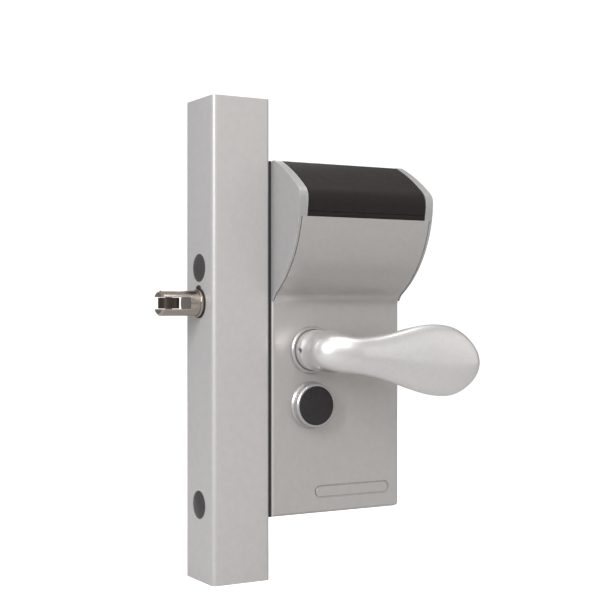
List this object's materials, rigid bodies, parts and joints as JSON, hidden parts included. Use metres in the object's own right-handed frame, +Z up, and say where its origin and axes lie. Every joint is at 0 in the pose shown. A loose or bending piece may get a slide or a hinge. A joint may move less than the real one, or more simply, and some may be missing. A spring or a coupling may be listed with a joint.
{
  "type": "keypad gate lock",
  "caption": "surface-mounted mechanical keypad lock on a square gate profile, with paddle handles on both sides, a lidded keypad hood and a sprung roller latch",
  "frame": {"origin": "centre of the lower end of the square gate profile that carries the lock", "axes": "+X from the profile across the gate, towards the handle's tip; +Y away from the keypad side; +Z up along the profile"},
  "size_m": [0.203, 0.1306, 0.3034],
  "materials": {
    "profile_coat": "satin silver-grey powder coat",
    "cover_coat": "satin silver-grey powder coat",
    "cheek_coat": "satin silver-grey powder coat",
    "flap_black": "satin near-black moulded lid",
    "handle_aluminium": "satin blasted and anodised",
    "collar_aluminium": "satin",
    "cap_black": "fine matt moulding",
    "plug_grey": "smooth moulded plug",
    "gasket_black": "matt black rubber",
    "latch_steel": "polished stainless steel",
    "steel": "zinc plated",
    "button_steel": "brushed stainless buttons",
    "keypad_black": "black keypad plate",
    "brass": "turned brass"
  },
  "bodies": {
    "lock": {"gate_profile": "profile_coat", "hole_plugs": "plug_grey", "latch_bush": "cap_black", "latch_guide_ring": "latch_steel", "mounting_gasket": "gasket_black", "fixing_bolts": "steel", "lock_case": "cover_coat", "rod_bush": "brass", "front_cover": "cover_coat", "rear_cover": "cover_coat", "cover_screws": "steel", "badge_plate": "cover_coat", "keypad_housing": "cheek_coat", "keypad_plate": "keypad_black", "code_chamber": "keypad_black", "button_springs": "steel", "flap_hinge_pin": "steel", "handle_return_spring": "steel", "chassis_spacers": "steel", "override_barrel": "brass", "override_cam": "brass", "code_slide": "steel", "latch_spring": "steel", "spring_stop": "steel", "hub_bushes": "brass", "front_rosette": "handle_aluminium", "front_chassis_plate": "steel", "front_cylinder_collar": "collar_aluminium", "front_cylinder_cap": "cap_black", "rear_rosette": "handle_aluminium", "rear_chassis_plate": "steel", "rear_cylinder_collar": "collar_aluminium", "rear_cylinder_cap": "cap_black"},
    "handle_set": {"spindle": "steel", "handle_hub": "steel", "front_handle": "handle_aluminium", "rear_handle": "handle_aluminium", "grub_screws": "steel"},
    "latch": {"latch_bolt": "latch_steel", "latch_roller_pin": "latch_steel", "latch_rod": "steel", "latch_lock_nut": "steel", "latch_slider": "steel"},
    "roller": {"latch_roller": "steel"},
    "flap": {"keypad_flap": "flap_black"},
    "key_1": {"button_1": "button_steel"},
    "key_2": {"button_2": "button_steel"},
    "key_3": {"button_3": "button_steel"},
    "key_4": {"button_4": "button_steel"},
    "key_5": {"button_5": "button_steel"},
    "key_x": {"button_x": "button_steel"},
    "key_z": {"button_z": "button_steel"},
    "key_6": {"button_6": "button_steel"},
    "key_7": {"button_7": "button_steel"},
    "key_8": {"button_8": "button_steel"},
    "key_9": {"button_9": "button_steel"},
    "key_0": {"button_0": "button_steel"},
    "key_y": {"button_y": "button_steel"},
    "key_clear": {"button_clear": "button_steel"}
  },
  "joints": [
    {"name": "handle_turn", "type": "hinge", "parent": "lock", "child": "handle_set", "pos_m": [0.05, 0, 0.1447], "axis": [0, 1, 0], "range_deg": [0, 40], "stiffness_Nm_per_rad": 0.8, "springref_deg": -40.11},
    {"name": "latch_slide", "type": "slide", "parent": "lock", "child": "latch", "axis": [1, 0, 0], "range_m": [0, 0.0192], "deforming": ["latch_spring"]},
    {"name": "roller_spin", "type": "hinge", "parent": "latch", "child": "roller", "pos_m": [-0.0409, 0, 0.1747], "axis": [0, 0, 1], "continuous": true},
    {"name": "flap_open", "type": "hinge", "parent": "lock", "child": "flap", "pos_m": [0.07, -0.0235, 0.2615], "axis": [-1, 0, 0], "range_deg": [0, 100]},
    {"name": "press_1", "type": "slide", "parent": "lock", "child": "key_1", "axis": [0, 0.7771, -0.6293], "range_m": [0, 0.0022], "stiffness_N_per_m": 300, "springref_m": -0.002, "deforming": ["button_springs"]},
    {"name": "press_2", "type": "slide", "parent": "lock", "child": "key_2", "axis": [0, 0.7771, -0.6293], "range_m": [0, 0.0022], "stiffness_N_per_m": 300, "springref_m": -0.002, "deforming": ["button_springs"]},
    {"name": "press_3", "type": "slide", "parent": "lock", "child": "key_3", "axis": [0, 0.7771, -0.6293], "range_m": [0, 0.0022], "stiffness_N_per_m": 300, "springref_m": -0.002, "deforming": ["button_springs"]},
    {"name": "press_4", "type": "slide", "parent": "lock", "child": "key_4", "axis": [0, 0.7771, -0.6293], "range_m": [0, 0.0022], "stiffness_N_per_m": 300, "springref_m": -0.002, "deforming": ["button_springs"]},
    {"name": "press_5", "type": "slide", "parent": "lock", "child": "key_5", "axis": [0, 0.7771, -0.6293], "range_m": [0, 0.0022], "stiffness_N_per_m": 300, "springref_m": -0.002, "deforming": ["button_springs"]},
    {"name": "press_x", "type": "slide", "parent": "lock", "child": "key_x", "axis": [0, 0.7771, -0.6293], "range_m": [0, 0.0022], "stiffness_N_per_m": 300, "springref_m": -0.002, "deforming": ["button_springs"]},
    {"name": "press_z", "type": "slide", "parent": "lock", "child": "key_z", "axis": [0, 0.7771, -0.6293], "range_m": [0, 0.0022], "stiffness_N_per_m": 300, "springref_m": -0.002, "deforming": ["button_springs"]},
    {"name": "press_6", "type": "slide", "parent": "lock", "child": "key_6", "axis": [0, 0.7771, -0.6293], "range_m": [0, 0.0022], "stiffness_N_per_m": 300, "springref_m": -0.002, "deforming": ["button_springs"]},
    {"name": "press_7", "type": "slide", "parent": "lock", "child": "key_7", "axis": [0, 0.7771, -0.6293], "range_m": [0, 0.0022], "stiffness_N_per_m": 300, "springref_m": -0.002, "deforming": ["button_springs"]},
    {"name": "press_8", "type": "slide", "parent": "lock", "child": "key_8", "axis": [0, 0.7771, -0.6293], "range_m": [0, 0.0022], "stiffness_N_per_m": 300, "springref_m": -0.002, "deforming": ["button_springs"]},
    {"name": "press_9", "type": "slide", "parent": "lock", "child": "key_9", "axis": [0, 0.7771, -0.6293], "range_m": [0, 0.0022], "stiffness_N_per_m": 300, "springref_m": -0.002, "deforming": ["button_springs"]},
    {"name": "press_0", "type": "slide", "parent": "lock", "child": "key_0", "axis": [0, 0.7771, -0.6293], "range_m": [0, 0.0022], "stiffness_N_per_m": 300, "springref_m": -0.002, "deforming": ["button_springs"]},
    {"name": "press_y", "type": "slide", "parent": "lock", "child": "key_y", "axis": [0, 0.7771, -0.6293], "range_m": [0, 0.0022], "stiffness_N_per_m": 300, "springref_m": -0.002, "deforming": ["button_springs"]},
    {"name": "press_clear", "type": "slide", "parent": "lock", "child": "key_clear", "axis": [0, 0.7771, -0.6293], "range_m": [0, 0.0022], "stiffness_N_per_m": 300, "springref_m": -0.002, "deforming": ["button_springs"]}
  ],
  "couplings": [
    {"joint": "latch_slide", "follows": "handle_turn", "m_per_rad": 0.027435}
  ]
}
